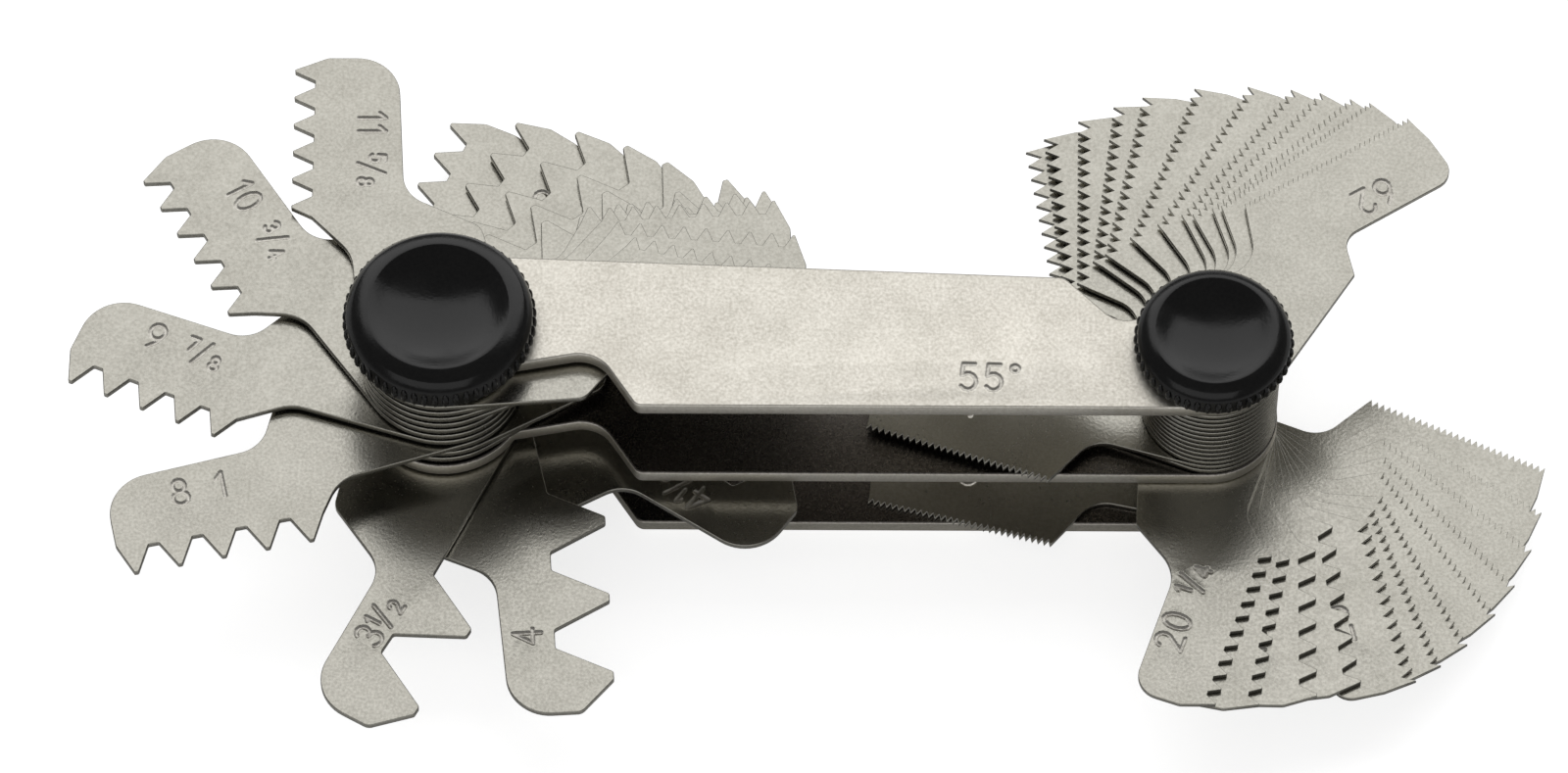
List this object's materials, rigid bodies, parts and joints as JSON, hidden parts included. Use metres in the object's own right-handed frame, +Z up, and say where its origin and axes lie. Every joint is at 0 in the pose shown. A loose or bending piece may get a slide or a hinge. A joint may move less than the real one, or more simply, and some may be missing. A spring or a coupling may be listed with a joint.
{
  "type": "thread pitch gauge",
  "caption": "Screw pitch gauge: toothed steel blades that turn on two pivot screws between three flat plates, clamped by two black knobs.",
  "frame": {"origin": "on the underside of the bottom plate, midway between the two pivot screws", "axes": "+X from the large pivot to the small pivot, +Y across the plates, away from the user, +Z up through the stack, towards the knobs"},
  "size_m": [0.1068, 0.0533, 0.0213],
  "materials": {
    "blade_steel": "satin, nickel grey",
    "plate_steel": "satin, bright rolled edges",
    "screw_steel": "turned, bright",
    "nut_brass": "turned",
    "knob_plastic": "moulded, glossy black"
  },
  "bodies": {
    "holder": {"bottom_plate": "plate_steel", "middle_plate": "plate_steel", "top_plate": "plate_steel", "large_pivot_screw": "screw_steel", "small_pivot_screw": "screw_steel"},
    "large_knob": {"large_knob": "knob_plastic", "large_knob_nut": "nut_brass"},
    "small_knob": {"small_knob": "knob_plastic", "small_knob_nut": "nut_brass"},
    "blade_10_tpi": {"blade_10_tpi": "blade_steel"},
    "blade_11_5_tpi": {"blade_11_5_tpi": "blade_steel"},
    "blade_11_tpi": {"blade_11_tpi": "blade_steel"},
    "blade_12_tpi": {"blade_12_tpi": "blade_steel"},
    "blade_13_tpi": {"blade_13_tpi": "blade_steel"},
    "blade_14_tpi": {"blade_14_tpi": "blade_steel"},
    "blade_15_tpi": {"blade_15_tpi": "blade_steel"},
    "blade_16_tpi": {"blade_16_tpi": "blade_steel"},
    "blade_18_tpi": {"blade_18_tpi": "blade_steel"},
    "blade_19_tpi": {"blade_19_tpi": "blade_steel"},
    "blade_20_tpi": {"blade_20_tpi": "blade_steel"},
    "blade_22_tpi": {"blade_22_tpi": "blade_steel"},
    "blade_24_tpi": {"blade_24_tpi": "blade_steel"},
    "blade_25_tpi": {"blade_25_tpi": "blade_steel"},
    "blade_26_tpi": {"blade_26_tpi": "blade_steel"},
    "blade_27_tpi": {"blade_27_tpi": "blade_steel"},
    "blade_28_tpi": {"blade_28_tpi": "blade_steel"},
    "blade_30_tpi": {"blade_30_tpi": "blade_steel"},
    "blade_32_tpi": {"blade_32_tpi": "blade_steel"},
    "blade_34_tpi": {"blade_34_tpi": "blade_steel"},
    "blade_36_tpi": {"blade_36_tpi": "blade_steel"},
    "blade_38_tpi": {"blade_38_tpi": "blade_steel"},
    "blade_3_5_tpi_plain": {"blade_3_5_tpi_plain": "blade_steel"},
    "blade_40_tpi": {"blade_40_tpi": "blade_steel"},
    "blade_42_tpi": {"blade_42_tpi": "blade_steel"},
    "blade_44_tpi": {"blade_44_tpi": "blade_steel"},
    "blade_46_tpi": {"blade_46_tpi": "blade_steel"},
    "blade_48_tpi": {"blade_48_tpi": "blade_steel"},
    "blade_4_5_tpi_plain": {"blade_4_5_tpi_plain": "blade_steel"},
    "blade_4_tpi_plain": {"blade_4_tpi_plain": "blade_steel"},
    "blade_50_tpi": {"blade_50_tpi": "blade_steel"},
    "blade_52_tpi": {"blade_52_tpi": "blade_steel"},
    "blade_54_tpi": {"blade_54_tpi": "blade_steel"},
    "blade_56_tpi": {"blade_56_tpi": "blade_steel"},
    "blade_58_tpi": {"blade_58_tpi": "blade_steel"},
    "blade_5_tpi_plain": {"blade_5_tpi_plain": "blade_steel"},
    "blade_60_tpi": {"blade_60_tpi": "blade_steel"},
    "blade_62_tpi": {"blade_62_tpi": "blade_steel"},
    "blade_6_tpi_plain": {"blade_6_tpi_plain": "blade_steel"},
    "blade_7_tpi": {"blade_7_tpi": "blade_steel"},
    "blade_7_tpi_plain": {"blade_7_tpi_plain": "blade_steel"},
    "blade_8_tpi": {"blade_8_tpi": "blade_steel"},
    "blade_8_tpi_plain": {"blade_8_tpi_plain": "blade_steel"},
    "blade_9_tpi": {"blade_9_tpi": "blade_steel"},
    "blade_9_tpi_plain": {"blade_9_tpi_plain": "blade_steel"}
  },
  "joints": [
    {"name": "blade_18_tpi_turn", "type": "hinge", "parent": "holder", "child": "blade_18_tpi", "pos_m": [-0.0276, 0, 0.0128], "axis": [0, 0, 1], "continuous": true},
    {"name": "blade_16_tpi_turn", "type": "hinge", "parent": "holder", "child": "blade_16_tpi", "pos_m": [-0.0276, 0, 0.0128], "axis": [0, 0, 1], "continuous": true},
    {"name": "blade_15_tpi_turn", "type": "hinge", "parent": "holder", "child": "blade_15_tpi", "pos_m": [-0.0276, 0, 0.0128], "axis": [0, 0, 1], "continuous": true},
    {"name": "blade_12_tpi_turn", "type": "hinge", "parent": "holder", "child": "blade_12_tpi", "pos_m": [-0.0276, 0, 0.0128], "axis": [0, 0, 1], "continuous": true},
    {"name": "blade_11_tpi_turn", "type": "hinge", "parent": "holder", "child": "blade_11_tpi", "pos_m": [-0.0276, 0, 0.0128], "axis": [0, 0, 1], "continuous": true},
    {"name": "blade_10_tpi_turn", "type": "hinge", "parent": "holder", "child": "blade_10_tpi", "pos_m": [-0.0276, 0, 0.0128], "axis": [0, 0, 1], "continuous": true},
    {"name": "blade_9_tpi_turn", "type": "hinge", "parent": "holder", "child": "blade_9_tpi", "pos_m": [-0.0276, 0, 0.0128], "axis": [0, 0, 1], "continuous": true},
    {"name": "blade_8_tpi_turn", "type": "hinge", "parent": "holder", "child": "blade_8_tpi", "pos_m": [-0.0276, 0, 0.0128], "axis": [0, 0, 1], "continuous": true},
    {"name": "blade_11_5_tpi_turn", "type": "hinge", "parent": "holder", "child": "blade_11_5_tpi", "pos_m": [-0.0276, 0, 0.0128], "axis": [0, 0, 1], "continuous": true},
    {"name": "blade_7_tpi_turn", "type": "hinge", "parent": "holder", "child": "blade_7_tpi", "pos_m": [-0.0276, 0, 0.0128], "axis": [0, 0, 1], "continuous": true},
    {"name": "blade_3_5_tpi_plain_turn", "type": "hinge", "parent": "holder", "child": "blade_3_5_tpi_plain", "pos_m": [-0.0276, 0, 0.00425], "axis": [0, 0, 1], "continuous": true},
    {"name": "blade_4_tpi_plain_turn", "type": "hinge", "parent": "holder", "child": "blade_4_tpi_plain", "pos_m": [-0.0276, 0, 0.00425], "axis": [0, 0, 1], "continuous": true},
    {"name": "blade_4_5_tpi_plain_turn", "type": "hinge", "parent": "holder", "child": "blade_4_5_tpi_plain", "pos_m": [-0.0276, 0, 0.00425], "axis": [0, 0, 1], "continuous": true},
    {"name": "blade_5_tpi_plain_turn", "type": "hinge", "parent": "holder", "child": "blade_5_tpi_plain", "pos_m": [-0.0276, 0, 0.00425], "axis": [0, 0, 1], "continuous": true},
    {"name": "blade_6_tpi_plain_turn", "type": "hinge", "parent": "holder", "child": "blade_6_tpi_plain", "pos_m": [-0.0276, 0, 0.00425], "axis": [0, 0, 1], "continuous": true},
    {"name": "blade_7_tpi_plain_turn", "type": "hinge", "parent": "holder", "child": "blade_7_tpi_plain", "pos_m": [-0.0276, 0, 0.00425], "axis": [0, 0, 1], "continuous": true},
    {"name": "blade_8_tpi_plain_turn", "type": "hinge", "parent": "holder", "child": "blade_8_tpi_plain", "pos_m": [-0.0276, 0, 0.00425], "axis": [0, 0, 1], "continuous": true},
    {"name": "blade_9_tpi_plain_turn", "type": "hinge", "parent": "holder", "child": "blade_9_tpi_plain", "pos_m": [-0.0276, 0, 0.00425], "axis": [0, 0, 1], "continuous": true},
    {"name": "blade_62_tpi_turn", "type": "hinge", "parent": "holder", "child": "blade_62_tpi", "pos_m": [0.0276, 0, 0.0128], "axis": [0, 0, 1], "continuous": true},
    {"name": "blade_60_tpi_turn", "type": "hinge", "parent": "holder", "child": "blade_60_tpi", "pos_m": [0.0276, 0, 0.0128], "axis": [0, 0, 1], "continuous": true},
    {"name": "blade_48_tpi_turn", "type": "hinge", "parent": "holder", "child": "blade_48_tpi", "pos_m": [0.0276, 0, 0.0128], "axis": [0, 0, 1], "continuous": true},
    {"name": "blade_40_tpi_turn", "type": "hinge", "parent": "holder", "child": "blade_40_tpi", "pos_m": [0.0276, 0, 0.0128], "axis": [0, 0, 1], "continuous": true},
    {"name": "blade_36_tpi_turn", "type": "hinge", "parent": "holder", "child": "blade_36_tpi", "pos_m": [0.0276, 0, 0.0128], "axis": [0, 0, 1], "continuous": true},
    {"name": "blade_32_tpi_turn", "type": "hinge", "parent": "holder", "child": "blade_32_tpi", "pos_m": [0.0276, 0, 0.0128], "axis": [0, 0, 1], "continuous": true},
    {"name": "blade_30_tpi_turn", "type": "hinge", "parent": "holder", "child": "blade_30_tpi", "pos_m": [0.0276, 0, 0.0128], "axis": [0, 0, 1], "continuous": true},
    {"name": "blade_28_tpi_turn", "type": "hinge", "parent": "holder", "child": "blade_28_tpi", "pos_m": [0.0276, 0, 0.0128], "axis": [0, 0, 1], "continuous": true},
    {"name": "blade_27_tpi_turn", "type": "hinge", "parent": "holder", "child": "blade_27_tpi", "pos_m": [0.0276, 0, 0.0128], "axis": [0, 0, 1], "continuous": true},
    {"name": "blade_26_tpi_turn", "type": "hinge", "parent": "holder", "child": "blade_26_tpi", "pos_m": [0.0276, 0, 0.0128], "axis": [0, 0, 1], "continuous": true},
    {"name": "blade_24_tpi_turn", "type": "hinge", "parent": "holder", "child": "blade_24_tpi", "pos_m": [0.0276, 0, 0.0128], "axis": [0, 0, 1], "continuous": true},
    {"name": "blade_22_tpi_turn", "type": "hinge", "parent": "holder", "child": "blade_22_tpi", "pos_m": [0.0276, 0, 0.0128], "axis": [0, 0, 1], "continuous": true},
    {"name": "blade_54_tpi_turn", "type": "hinge", "parent": "holder", "child": "blade_54_tpi", "pos_m": [0.0276, 0, 0.0128], "axis": [0, 0, 1], "continuous": true},
    {"name": "blade_58_tpi_turn", "type": "hinge", "parent": "holder", "child": "blade_58_tpi", "pos_m": [0.0276, 0, 0.0128], "axis": [0, 0, 1], "continuous": true},
    {"name": "blade_20_tpi_turn", "type": "hinge", "parent": "holder", "child": "blade_20_tpi", "pos_m": [0.0276, 0, 0.00425], "axis": [0, 0, 1], "continuous": true},
    {"name": "blade_19_tpi_turn", "type": "hinge", "parent": "holder", "child": "blade_19_tpi", "pos_m": [0.0276, 0, 0.00425], "axis": [0, 0, 1], "continuous": true},
    {"name": "blade_13_tpi_turn", "type": "hinge", "parent": "holder", "child": "blade_13_tpi", "pos_m": [0.0276, 0, 0.00425], "axis": [0, 0, 1], "continuous": true},
    {"name": "blade_14_tpi_turn", "type": "hinge", "parent": "holder", "child": "blade_14_tpi", "pos_m": [0.0276, 0, 0.00425], "axis": [0, 0, 1], "continuous": true},
    {"name": "blade_25_tpi_turn", "type": "hinge", "parent": "holder", "child": "blade_25_tpi", "pos_m": [0.0276, 0, 0.00425], "axis": [0, 0, 1], "continuous": true},
    {"name": "blade_34_tpi_turn", "type": "hinge", "parent": "holder", "child": "blade_34_tpi", "pos_m": [0.0276, 0, 0.00425], "axis": [0, 0, 1], "continuous": true},
    {"name": "blade_38_tpi_turn", "type": "hinge", "parent": "holder", "child": "blade_38_tpi", "pos_m": [0.0276, 0, 0.00425], "axis": [0, 0, 1], "continuous": true},
    {"name": "blade_42_tpi_turn", "type": "hinge", "parent": "holder", "child": "blade_42_tpi", "pos_m": [0.0276, 0, 0.00425], "axis": [0, 0, 1], "continuous": true},
    {"name": "blade_44_tpi_turn", "type": "hinge", "parent": "holder", "child": "blade_44_tpi", "pos_m": [0.0276, 0, 0.00425], "axis": [0, 0, 1], "continuous": true},
    {"name": "blade_46_tpi_turn", "type": "hinge", "parent": "holder", "child": "blade_46_tpi", "pos_m": [0.0276, 0, 0.00425], "axis": [0, 0, 1], "continuous": true},
    {"name": "blade_50_tpi_turn", "type": "hinge", "parent": "holder", "child": "blade_50_tpi", "pos_m": [0.0276, 0, 0.00425], "axis": [0, 0, 1], "continuous": true},
    {"name": "blade_52_tpi_turn", "type": "hinge", "parent": "holder", "child": "blade_52_tpi", "pos_m": [0.0276, 0, 0.00425], "axis": [0, 0, 1], "continuous": true},
    {"name": "blade_56_tpi_turn", "type": "hinge", "parent": "holder", "child": "blade_56_tpi", "pos_m": [0.0276, 0, 0.00425], "axis": [0, 0, 1], "continuous": true},
    {"name": "large_knob_turn", "type": "hinge", "parent": "holder", "child": "large_knob", "pos_m": [-0.0276, 0, 0.02], "axis": [0, 0, 1], "range_deg": [0, 360]},
    {"name": "small_knob_turn", "type": "hinge", "parent": "holder", "child": "small_knob", "pos_m": [0.0276, 0, 0.02], "axis": [0, 0, 1], "range_deg": [0, 360]}
  ]
}
